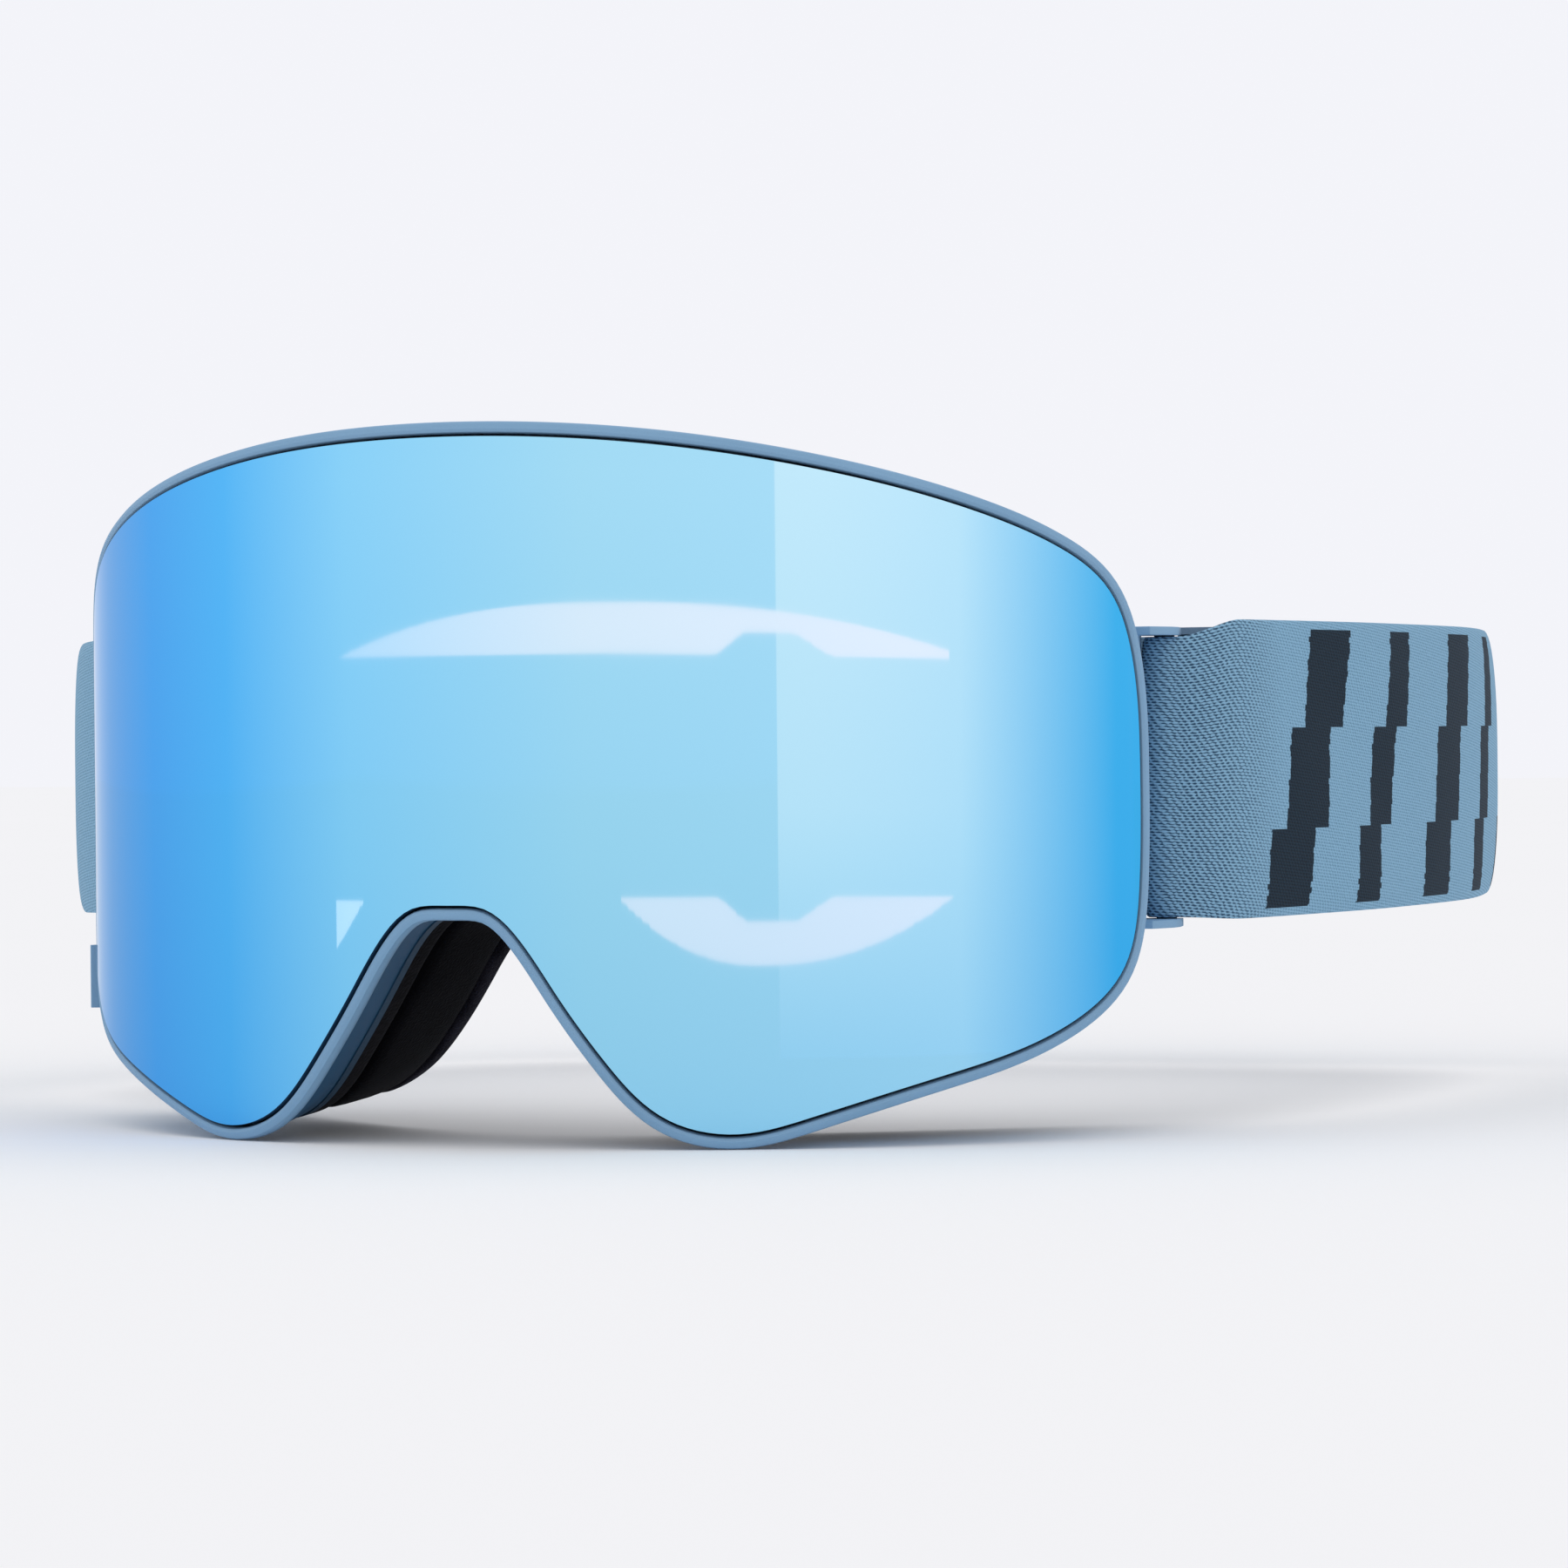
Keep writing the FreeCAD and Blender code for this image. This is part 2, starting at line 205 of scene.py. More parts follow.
goggle = {
    "lensRadius": 100.0,      # mirrored face, a cylinder with an upright axis
    "floorLift": 2.24,        # lens bottom above the floor
    "faceDepth": 37.0,        # lens to the back of the foam, over the nose
    "faceBow": 0.0096,        # the face side curves back by this times x squared
    "frameEnd": 0.44,         # share of the depth where the hard frame ends, and this
    "noseShare": 0.22,        # much less over the nose
    "cheekLift": 7.5,         # the rear of the foam stands higher than the rim's lobes
    "strapHeight": 52.2,
    "strapWidth": 43.8,
    "steps": 384,             # points round the outline
    # half of the lens outline: distance round the cylinder from the middle, height
    "half": [(0, 98.0), (31, 96.3), (52, 93.0), (78, 86.3), (89.2, 81.9), (98, 75.6),
             (101.9, 66), (103.1, 50), (102.8, 34), (99.9, 22), (91.4, 14.8), (71, 7.6),
             (52, 2.1), (42.5, 0), (31.5, 2.4), (23.5, 10), (16.5, 19.4), (11.5, 26.6),
             (5.5, 31.6), (0, 32)],
}
lensRadius = goggle["lensRadius"]


def lensOutline():
    # evenly spaced points and outward normals on a smooth closed curve, clockwise from the top
    right = [(s, z + goggle["floorLift"]) for s, z in goggle["half"]]
    left = [(-s, z) for s, z in reversed(right[1:-1])]
    knots = np.array(right + left + right[:1])
    gaps = np.linalg.norm(np.diff(knots, axis=0), axis=1)
    count = len(gaps)
    system, slopes = np.zeros((count, count)), np.zeros((count, 2))
    for i in range(count):
        before, after = gaps[i - 1], gaps[i]
        system[i, i - 1], system[i, i] = after, 2 * (before + after)
        system[i, (i + 1) % count] = before
        slopes[i] = 3 * (after * (knots[i] - knots[i - 1 if i else count - 1]) / before
                         + before * (knots[i + 1] - knots[i]) / after)
    tangents = np.linalg.solve(system, slopes)
    points, headings = [], []
    for i in range(count):
        first, last = tangents[i], tangents[(i + 1) % count]
        for t in np.linspace(0, 1, 60, endpoint=False):
            a, b = knots[i], knots[i + 1]
            points.append((2 * t**3 - 3 * t**2 + 1) * a + (t**3 - 2 * t**2 + t) * gaps[i] * first
                          + (3 * t**2 - 2 * t**3) * b + (t**3 - t**2) * gaps[i] * last)
            headings.append((6 * t**2 - 6 * t) * (a - b) / gaps[i] + (3 * t**2 - 4 * t + 1) * first
                            + (3 * t**2 - 2 * t) * last)
    points, headings = np.array(points), np.array(headings)
    travelled = np.concatenate([[0], np.cumsum(np.linalg.norm(
        np.diff(np.vstack([points, points[:1]]), axis=0), axis=1))])
    even = np.linspace(0, travelled[-1], goggle["steps"], endpoint=False)
    outline = []
    for distance in even:
        i = min(int(np.searchsorted(travelled, distance, side="right")) - 1, len(points) - 1)
        share = (distance - travelled[i]) / (travelled[i + 1] - travelled[i])
        following = (i + 1) % len(points)
        spot = points[i] * (1 - share) + points[following] * share
        heading = headings[i] * (1 - share) + headings[following] * share
        heading /= np.linalg.norm(heading)
        outline.append((spot[0], spot[1], -heading[1], heading[0]))
    return outline


outline = lensOutline()


def onLens(radius):
    def spot(s, z):
        turn = s / lensRadius
        return radius * math.sin(turn), -radius * math.cos(turn), z
    return spot


def towardsFace(share, nose=0.0):
    # between the lens (0) and the rear of the foam (1), nearer the lens over the nose
    def spot(s, z):
        byNose = 1 / (1 + (s / 46) ** 6) / (1 + (z / 52) ** 8)
        deep = share - nose * byNose
        front = lensRadius * math.sin(s / lensRadius)
        x = front * (1 - 0.29 * deep + 0.095 * deep**2)
        lensSide = -math.sqrt(lensRadius**2 - front**2)
        faceSide = -lensRadius + goggle["faceDepth"] + goggle["faceBow"] * x**2
        lift = goggle["cheekLift"] * deep * byNose * max(0, 1 - z / 45) ** 2
        return x, lensSide * (1 - deep) + faceSide * deep, z * (1 - 0.07 * deep) + lift
    return spot


def deselect():
    bpy.ops.object.select_all(action="DESELECT")


def only(piece):
    deselect()
    piece.select_set(True)
    bpy.context.view_layer.objects.active = piece
    return piece


def newPiece(name, points, faces, material=None):
    mesh = bpy.data.meshes.new(name)
    mesh.from_pydata(points, [], faces)
    mesh.update()
    piece = bpy.data.objects.new(name, mesh)
    bpy.context.scene.collection.objects.link(piece)
    if material:
        mesh.materials.append(material)
    return only(piece)


def outward(piece):
    # merge doubles, then turn every face outwards
    only(piece)
    bpy.ops.object.mode_set(mode="EDIT")
    bpy.ops.mesh.select_all(action="SELECT")
    bpy.ops.mesh.remove_doubles(threshold=0.000002)
    bpy.ops.mesh.normals_make_consistent(inside=False)
    bpy.ops.object.mode_set(mode="OBJECT")
    return piece


def modified(piece, kind, **settings):
    only(piece)
    modifier = piece.modifiers.new(kind.title(), kind)
    for key, value in settings.items():
        setattr(modifier, key, value)
    bpy.ops.object.modifier_apply(modifier=modifier.name)
    return piece


def rounded(piece, width, segments=3, angle=28):
    return modified(piece, "BEVEL", width=width * mm, segments=segments, limit_method="ANGLE",
                    angle_limit=math.radians(angle), use_clamp_overlap=True)


def smooth(piece, angle=40):
    only(piece)
    bpy.ops.object.shade_smooth_by_angle(angle=math.radians(angle))
    return piece


def ringPiece(name, section, material, first=0, last=None):
    # a closed ring, or part of one, through the corners of its section
    count = len(outline)
    span = range(count) if last is None else range(first, last + 1)
    points = []
    for i in span:
        s, z, outS, outZ = outline[i % count]
        for offset, spot in section:
            points.append(place(*spot(s + outS * offset, z + outZ * offset)))
    corners, faces = len(section), []
    for k in range(len(span) if last is None else len(span) - 1):
        following = (k + 1) % len(span)
        for c in range(corners):
            after = (c + 1) % corners
            faces.append((k * corners + c, k * corners + after,
                          following * corners + after, following * corners + c))
    if last is not None:
        faces += [tuple(range(corners)), tuple(range(len(points) - corners, len(points)))]
    return outward(newPiece(name, points, faces, material))


def box(name, middle, size, turn=0.0):
    # a cube at its size, turned about the upright axis through the lens cylinder
    deselect()
    bpy.ops.mesh.primitive_cube_add(size=1)
    piece = bpy.context.object
    piece.name = name
    piece.data.transform(Matrix.Diagonal((*[v * mm for v in size], 1)))
    piece.data.transform(Matrix.Translation(Vector(middle) * mm))
    piece.data.transform(Matrix.Rotation(math.radians(turn), 4, "Z"))
    piece.data.transform(Matrix.Translation(axisPlace * mm))
    return piece


def joined(pieces):
    deselect()
    for piece in pieces:
        piece.select_set(True)
    bpy.context.view_layer.objects.active = pieces[0]
    bpy.ops.object.join()
    return pieces[0]


def cutAway(piece, cutter):
    only(piece)
    modifier = piece.modifiers.new("Cut", "BOOLEAN")
    modifier.operation, modifier.solver, modifier.object = "DIFFERENCE", "EXACT", cutter
    bpy.ops.object.modifier_apply(modifier="Cut")
    bpy.data.objects.remove(cutter)
    return piece


def finished(piece, body, slot, *replaced):
    if body:
        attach(piece, body)
    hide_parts(*replaced)
    return piece


def fromNode(name, node, width, material, body, slot, segments=3):
    # the CAD solid's own shape, with its edges rounded
    piece = nodes[node].copy()
    piece.data = nodes[node].data.copy()
    piece.name = piece.data.name = name
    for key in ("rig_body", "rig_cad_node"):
        if key in piece:
            del piece[key]
    piece.parent = None
    bpy.context.scene.collection.objects.link(piece)
    piece.data.materials.clear()
    piece.data.materials.append(material)
    only(piece)
    bpy.ops.object.mode_set(mode="EDIT")
    bpy.ops.mesh.select_all(action="SELECT")
    bpy.ops.mesh.remove_doubles(threshold=0.00001)
    bpy.ops.mesh.normals_make_consistent(inside=False)
    bpy.ops.mesh.dissolve_limited(angle_limit=math.radians(3))
    bpy.ops.object.mode_set(mode="OBJECT")
    rounded(piece, width, segments, 32)
    smooth(piece, 35)
    return finished(piece, body, slot, node)


def srgb(*levels):
    # screen levels, 0 to 255, as shader colours
    return tuple(((v / 255 + 0.055) / 1.055) ** 2.4 if v > 10 else v / 255 / 12.92 for v in levels)


def rimRubber():
    # matt blue-grey, with painted shade: over the nose notch its wall darkens to deep teal away
    # from the lens
    paint = Paint("mattBlueGreyRubber", Roughness=0.62)
    spot = paint.position()
    x, y, z = paint.axes(spot)
    fine, cloud = paint.noise(spot, 5200), paint.noise(spot, 60, 3)
    tone = paint.ramp(cloud * 0.6 + fine * 0.4, [(0.3, srgb(123, 165, 199)),
                                                 (0.7, srgb(133, 174, 208))])
    fromAxis = paint.add("ShaderNodeMath", {"operation": "POWER"}, {0: (
        (x * 1000 - axisPlace.x) * (x * 1000 - axisPlace.x)
        + (y * 1000 - axisPlace.y) * (y * 1000 - axisPlace.y)), 1: 0.5})
    # painted shade: low over the nose, the notch wall is darkened to deep teal away from the lens,
    # standing in for the shade in that recess
    middle = abs(x * 1000 - axisPlace.x) < 46.0
    depth = paint.add("ShaderNodeMapRange", {}, {"Value": fromAxis, "From Min": 98.5,
                                                 "From Max": 96.9, "To Min": 0.0, "To Max": 1.0})
    tone = paint.mix(depth * middle * (z < 0.05), tone, srgb(20, 82, 120))
    return paint.feed(Base_Color=tone, Roughness=cloud * 0.16 + 0.54,
                      Normal=paint.bump(fine, 0.00003, 0.35))


frameRubber = rimRubber()
# on the lens's edge the dark navy is partly the edge's own colour and partly painted shade of the
# gap beside the rim
darkSeam = grainy("darkSeamPaint", srgb(34, 70, 100), 0.2, 0.45, variation=0.1)
deepNylon = grainy("deepNavyNylon", srgb(18, 62, 90), 0.3, 0.6, pitch=3600, variation=0.08)
blackNylon = grainy("blackNylon", srgb(24, 26, 31), 0.4, 0.55, pitch=3600)
buckleNylon = grainy("strapBuckleNylon", srgb(92, 122, 150), 0.4, 0.5, pitch=3200)
magnetNickel = grainy("nickelledMagnet", (0.55, 0.56, 0.58), 0.15, 0.3, pitch=1800, Metallic=1.0)


def brushedSteel():
    paint = Paint("brushedSteelPin", Metallic=1.0)
    spot = paint.position()
    streaks = paint.noise(spot, 900, 3, stretch=(1, 1, 0.04))
    tone = paint.ramp(streaks, [(0.3, (0.42, 0.43, 0.45)), (0.7, (0.66, 0.67, 0.69))])
    return paint.feed(Base_Color=tone, Roughness=streaks * 0.2 + 0.2,
                      Normal=paint.bump(streaks, 0.00002, 0.3))


steelPin = brushedSteel()


def foamFinish(name, dark, light, pitch, depth, grain=None):
    # open cells, with a fuzzy sheen
    paint = Paint(name, Roughness=0.95, Sheen_Weight=0.05, Sheen_Roughness=0.5,
                  Sheen_Tint=(0.5, 0.52, 0.6, 1), Specular_IOR_Level=0.06)
    spot = paint.position()
    cells = paint.add("ShaderNodeTexVoronoi", {"feature": "F1"},
                      {"Vector": spot, "Scale": pitch})
    cloud = paint.noise(spot, 140, 4)
    height = cells + cloud * 0.5
    if grain:
        lines = paint.noise(spot, 1500, 2, stretch=grain)
        height = height + lines * 0.8
        cloud = cloud * 0.4 + lines * 0.6
    tone = paint.ramp(cloud, [(0.32, dark), (0.7, light)])
    return paint.feed(Base_Color=tone, Normal=paint.bump(height, depth, 0.8))


baseFoam = foamFinish("firmBaseFoam", srgb(10, 10, 12), srgb(26, 24, 27), 1700, 0.00012,
                      (0.12, 0.12, 1))
softFoam = foamFinish("softFaceFoam", srgb(3, 3, 6), srgb(11, 11, 15), 2400, 0.00012)
fleece = foamFinish("brushedFleece", srgb(18, 18, 24), srgb(48, 47, 58), 2600, 0.0003)
filterFoam = foamFinish("ventFilterFoam", srgb(20, 22, 26), srgb(52, 56, 62), 900, 0.0006)
gasketFoam = foamFinish("gasketFoam", srgb(26, 28, 33), srgb(44, 47, 54), 2200, 0.0002)


def mirrorCoat():
    # ice-blue mirror: deep blue towards both ends, pale cyan over the middle
    paint = Paint("iceBlueMirror", Metallic=1.0, Roughness=0.05, Coat_Weight=0.1,
                  Coat_Roughness=0.02, Coat_IOR=1.5, Specular_Tint=(0.54, 0.78, 1.0, 1))
    spot = paint.position()
    x, y, z = paint.axes(spot)
    across = ((x * 1000 - axisPlace.x) / lensRadius).arcsine() / 2.066 + 0.5
    cloud = paint.noise(spot, 14, 2)
    acrossIt = across + (cloud - 0.5) * 0.01
    tone = paint.ramp(acrossIt, [
        (0.0, srgb(175, 185, 220)), (0.1, srgb(110, 165, 222)), (0.2, srgb(76, 168, 240)),
        (0.3, srgb(80, 183, 248)), (0.42, srgb(130, 210, 250)), (0.6, srgb(155, 220, 246)),
        (0.86, srgb(165, 225, 252)), (0.98, srgb(60, 180, 240))])
    # painted light and shade: the mirror is lighter towards the top and darker towards the bottom
    paintedLightByHeight = paint.ramp(z * 10, [(0.04, (0.84, 0.9, 0.95)), (0.4, (1.0, 1.0, 1.0)),
                                (0.95, (1.22, 1.09, 1.04))])
    tone = paint.mix(1.0, tone, paintedLightByHeight, "MULTIPLY")
    smudge = paint.noise(spot, 45, 5)
    return paint.feed(Base_Color=tone, Roughness=smudge * 0.04 + 0.01)


def clearPanel():
    # tinted anti-fog panel, seen from behind
    paint = Paint("antiFogPanel", Roughness=0.12, Alpha=0.45, IOR=1.47)
    spot = paint.position()
    film = paint.noise(spot, 60, 4)
    tone = paint.ramp(film, [(0.3, (0.09, 0.075, 0.07)), (0.7, (0.13, 0.105, 0.1))])
    return paint.feed(Base_Color=tone, Roughness=film * 0.1 + 0.08)


mirror = mirrorCoat()
antiFog = clearPanel()

weave = {
    "yarn": srgb(142, 186, 215),      # blue-grey
    "shade": srgb(100, 142, 171),
    "gapShade": srgb(34, 62, 90),          # seen through the stretched stitches by the bar, and painted shade where the webbing turns in behind the rim
    "navy": srgb(22, 47, 64),
    "navyShade": srgb(6, 22, 35),
    "lining": srgb(92, 122, 148), "liningShade": srgb(58, 84, 108),
    "pitch": 0.46,                    # across the courses, mm
    "stitch": 0.95,                   # along the courses, mm
    "slope": -0.15,                   # lean of the dark bars
    "repeat": 66.0,                   # length of one repeat of the pattern, mm
    "bars": [(0, 15), (33, 43)],
    "steps": [(6.0, -5.0), (-9.0, 5.0)],    # above this height the bars shift along
    "margin": 1.3,                    # plain selvedge
}


def webbingFinish(name, plain):
    # elastic webbing: slanted stitches in courses, plain selvedges, and bold slanted bars
    # woven into the outer side, none nearer the bar than plain. The piece's UV map holds
    # metres along and across the webbing, with 1 added on the inner side.
    paint = Paint(name, Roughness=0.88, Sheen_Weight=0.05, Sheen_Roughness=0.4,
                  Sheen_Tint=(0.75, 0.85, 1.0, 1), Specular_IOR_Level=0.2)
    spot = paint.add("ShaderNodeUVMap", {"uv_map": "cloth"})
    u, v, w = paint.axes(spot)
    inner = v > 0.5
    alongIt, across = u * 1000, (v - inner) * 1000
    wander = paint.add("ShaderNodeTexNoise", {}, {"Vector": spot, "Scale": 900.0, "Detail": 2.0})
    course = (across / weave["pitch"]).floor()
    turn = (alongIt / weave["stitch"] + course * 0.31 + wander * 0.9) * 6.2832
    stitch = turn.sine() * 0.5 + 0.5
    rib = (across / weave["pitch"] * 6.2832 + alongIt * 1.1).sine() * 0.5 + 0.5
    fuzz = paint.add("ShaderNodeTexNoise", {}, {"Vector": spot, "Scale": 2600.0, "Detail": 3.0})
    height = stitch * 0.3 + rib * 0.35 + fuzz * 0.55
    # bars in whole stitches, so that their edges are ragged
    cell = paint.add("ShaderNodeTexWhiteNoise", {"noise_dimensions": "1D"},
                     {"W": (across / 0.85).floor() + 40}, 0)
    spotAlong = alongIt + across * weave["slope"] + cell * 0.7 - plain
    for level, move in weave["steps"]:
        spotAlong = spotAlong + ((across > level) if level > 0 else (across < level)) * move
    started = spotAlong > 0
    spotAlong = spotAlong % weave["repeat"]
    dark = None
    for low, high in weave["bars"]:
        bar = (spotAlong > low) * (spotAlong < high)
        dark = bar if dark is None else dark + bar
    dark = dark * (abs(across) < goggle["strapWidth"] / 2 - weave["margin"]) * (1 - inner) * started
    # stretched stitches open up beside the bar, their gaps painted dark: partly open weave, partly
    # painted shade where the webbing turns in behind the rim
    openedAndShaded = paint.add("ShaderNodeMapRange", {}, {"Value": alongIt, "From Min": 16.0,
                                                  "From Max": 34.0, "To Min": 1.0, "To Max": 0.0})
    light = paint.ramp(height, [(0.28, weave["shade"]), (0.72, weave["yarn"])])
    looseAndShaded = paint.ramp(height, [(0.42, weave["gapShade"]), (0.7, weave["yarn"])])
    light = paint.mix(openedAndShaded * 0.9, light, looseAndShaded)
    night = paint.ramp(height, [(0.3, weave["navyShade"]), (0.8, weave["navy"])])
    lining = paint.ramp(height, [(0.25, weave["liningShade"]), (0.75, weave["lining"])])
    tone = paint.mix(inner, paint.mix(dark, light, night), lining)
    return paint.feed(Base_Color=tone, Normal=paint.bump(height, 0.00016, 0.6))


webbingLeft = webbingFinish("wovenElasticLeft", 36)
webbingRight = webbingFinish("wovenElasticRight", 118)


def siliconeFinish():
    paint = Paint("gripSilicone", Roughness=0.35, Subsurface_Weight=0.2, IOR=1.41)
    spot = paint.position()
    dust = paint.noise(spot, 700, 3)
    tone = paint.ramp(dust, [(0.3, (0.36, 0.42, 0.48)), (0.7, (0.55, 0.6, 0.65))])
    return paint.feed(Base_Color=tone, Normal=paint.bump(dust, 0.00003, 0.4))


silicone = siliconeFinish()
print("finishes made")


shell = {"ventAngles": [-44, -26.4, -8.8, 8.8, 26.4, 44], "ventSize": (17, 4.2, 30),
         "ventRadius": 87.2, "lowAngles": [-47, -38, 38, 47], "lowSize": (10, 4.2, 26),
         "lowRadius": 85.5}


def frameShell():
    end, nose = goggle["frameEnd"], goggle["noseShare"]
    piece = ringPiece("frameShell", [
        (0.4, onLens(99.35)), (0.62, onLens(99.8)), (1.05, onLens(100.05)),
        (1.55, onLens(99.95)), (1.95, onLens(99.6)), (2.12, onLens(99.0)),
        (2.12, onLens(98.1)), (1.95, onLens(97.75)), (1.5, onLens(97.55)),
        (1.38, onLens(97.3)), (1.34, onLens(96.6)), (0.9, towardsFace(end, nose)),
        (-1.1, towardsFace(end, nose)), (-0.2, onLens(93)), (-4.5, onLens(93)),
        (-4.5, onLens(94.5)), (0.35, onLens(94.5))], frameRubber)
    cutters = []
    for angle in shell["ventAngles"]:
        cutters.append(box("vent", (0, -shell["ventRadius"], 96.2 - abs(angle) / 9),
                           shell["ventSize"], angle))
    for angle in shell["lowAngles"]:
        cutters.append(box("vent", (0, -shell["lowRadius"], 5.2), shell["lowSize"], angle))
    for cutter in cutters:
        rounded(cutter, 1.6, 4, 80)
    cutAway(piece, joined(cutters))
    smooth(piece, 32)
    return finished(piece, "frame", "frame", "frame_shell")


frameShell()


def foamRing(name, front, rear, outside, inside, material, slot, node, puff):
    # one layer of the face foam: crowned, softly rounded, a little uneven;
    # front and rear are a share of the depth and how much less it is over the nose
    def at(share):
        return towardsFace(*(f * (1 - share) + r * share for f, r in zip(front, rear)))
    piece = ringPiece(name, [
        (outside - puff, at(0)), (outside, at(0.15)), (outside + puff * 0.4, at(0.5)),
        (outside, at(0.85)), (outside - puff, at(1)), ((outside + inside) / 2, at(1)),
        (inside + puff, at(1)), (inside, at(0.85)), (inside, at(0.5)), (inside, at(0.15)),
        (inside + puff, at(0))], material)
    modified(piece, "SUBSURF", levels=1, render_levels=1)
    lumps = bpy.data.textures.new(name + "Lumps", "CLOUDS")
    lumps.noise_scale = 0.02
    modified(piece, "DISPLACE", texture=lumps, strength=0.0004, mid_level=0.5,
             texture_coords="LOCAL")
    smooth(piece, 60)
    finished(piece, "frame", slot, node)
    return piece


frameEnd, noseShare = goggle["frameEnd"], goggle["noseShare"]
foamRing("faceFoamBase", (frameEnd + 0.005, noseShare), (0.6, noseShare), 1.0, -7.5, baseFoam,
         "foam_base", "face_foam_base", 0.2)
foamRing("faceFoamMiddle", (0.601, noseShare), (0.9, 0), 1.1, -8.0, softFoam, "foam",
         "face_foam_mid", 0.35)
foamRing("faceFleece", (0.9, 0), (1.0, 0), 1.1, -7.6, fleece, "fleece", "face_fleece", 0.5)
print("frame shell and face foam made")


def ventFoam(name, first, last, node):
    scale = len(outline) / 96
    rear = towardsFace(frameEnd - 0.05, noseShare)
    front = onLens(91.2)
    piece = ringPiece(name, [(-1.5, front), (-2.0, rear), (-4.4, rear), (-4.0, front)],
                      filterFoam, round(first * scale), round(last * scale))
    rounded(piece, 0.5, 2)
    smooth(piece)
    finished(piece, "frame", "vent_foam", node)
    return piece


ventFoam("ventFoamTop", -13, 13, "vent_foam_top")
ventFoam("ventFoamLowLeft", 31, 37, "vent_foam_low_left")
ventFoam("ventFoamLowRight", -37, -31, "vent_foam_low_right")


def lensPanel(name, offset, radius, thickness, edge, material, edgeMaterial):
    # cut flat to the outline, given its thickness and edge, then rolled onto the cylinder
    flat = [Vector(((s + outS * offset) * mm, 0, (z + outZ * offset) * mm))
            for s, z, outS, outZ in outline]
    piece = newPiece(name, flat, [tuple(range(len(flat)))], material)
    piece.data.materials.append(edgeMaterial)
    bpy.ops.object.mode_set(mode="EDIT")
    for line in range(-103, 104):
        bpy.ops.mesh.select_all(action="SELECT")
        bpy.ops.mesh.bisect(plane_co=(line * mm, 0, 0), plane_no=(1, 0, 0))
    bpy.ops.mesh.select_all(action="SELECT")
    bpy.ops.mesh.normals_make_consistent(inside=False)
    bpy.ops.object.mode_set(mode="OBJECT")
    if piece.data.polygons[0].normal.y > 0:
        piece.data.flip_normals()
    modified(piece, "SOLIDIFY", thickness=thickness * mm, offset=-1, use_even_offset=False)
    modified(piece, "BEVEL", width=edge * mm, segments=2, limit_method="ANGLE",
             angle_limit=math.radians(60))
    for face in piece.data.polygons:
        face.material_index = 0 if abs(face.normal.y) > 0.999 else 1
    for vertex in piece.data.vertices:
        s, depth, z = vertex.co / mm
        vertex.co = place(*onLens(radius - max(depth, 0))(s, z))
    return smooth(piece, 12)


# the edge band takes the dark seam paint, partly painted shade of the gap beside the rim
outerLens = lensPanel("outerLens", 0, 100.0, 1.2, 0.32, mirror, darkSeam)
finished(outerLens, "lens", "mirror_lens", "outer_lens")
innerLens = lensPanel("innerLens", -3.6, 96.0, 0.8, 0.2, antiFog, antiFog)
finished(innerLens, "lens", "inner_lens", "inner_lens")
gasket = ringPiece("lensGasket", [(-3.7, onLens(98.7)), (-3.7, onLens(96.1)),
                                  (-7.5, onLens(96.1)), (-7.5, onLens(98.7))], gasketFoam)
rounded(gasket, 0.5, 2)
smooth(gasket)
finished(gasket, "lens", "gasket", "lens_gasket")
print("lens made")

for name, finish in (("face_frame", deepNylon), ("frame_magnets", magnetNickel),
                     ("lens_magnets", magnetNickel), ("lens_carrier", darkSeam),
                     ("anchor_bar_left", blackNylon), ("anchor_bar_right", blackNylon),
                     ("lever_pin", steelPin)):
    nodes[name].data.materials.clear()
    nodes[name].data.materials.append(finish)

fromNode("outriggerLeft", "outrigger_left", 0.6, frameRubber, "frame", "frame")
fromNode("outriggerRight", "outrigger_right", 0.6, frameRubber, "frame", "frame")
fromNode("leverBracket", "lever_bracket", 0.4, frameRubber, "frame", "frame")
fromNode("releaseLever", "release_lever", 0.9, frameRubber, "lever", "frame")
fromNode("strapRing", "strap_ring", 0.7, buckleNylon, "strap", "buckle")
fromNode("tailSlider", "slider", 0.7, buckleNylon, "slider", "buckle")
print("fittings made")


strap = {
    "thick": 1.8,
    "bar": (79.8, -26.0),      # the upright bar, from the lens axis
    "loop": 2.55,              # webbing's middle, round a bar
    "sewn": 2.0,
    "sewnHigh": 19.4, "sewnLow": 21.5,   # the sewn end's edges above and below the middle
    "curl": 1.5,               # selvedges turn in at the rear corner
    "swell": -0.9,             # how far the middle stands out at the rear corner
    "rearRun": 66.0, "tailRun": 36.0, "ringPitch": 8.6,
}


def along(heading):
    # headings are degrees from +Y towards -X
    return Vector((-math.sin(math.radians(heading)), math.cos(math.radians(heading)), 0))


class Route:
    # the webbing's middle seen from above, in straights and arcs, with its sideways direction
    def __init__(self, start):
        self.at = Vector((start[0], start[1], 0))
        self.points, self.length = [], 0.0

    def mark(self, heading):
        if self.points:
            self.length += (self.at - self.points[-1][0]).length
        self.points.append((self.at.copy(), along(heading + 90), self.length))

    def line(self, length, heading, steps=None):
        steps = steps or max(2, round(length / 2))
        for i in range(1 if self.points else 0, steps + 1):
            if i:
                self.at = self.at + along(heading) * (length / steps)
            self.mark(heading)
        return self

    def arc(self, radius, into, out):
        turn = 1 if out > into else -1
        centre = self.at + along(into + 90) * (radius * turn)
        swept = abs(out - into)
        steps = max(6, round(abs(math.radians(out - into)) * radius / 1.6), round(swept / 12))
        for i in range(1 if self.points else 0, steps + 1):
            heading = into + (out - into) * i / steps
            self.at = centre - along(heading + 90) * (radius * turn)
            self.mark(heading)
        return self


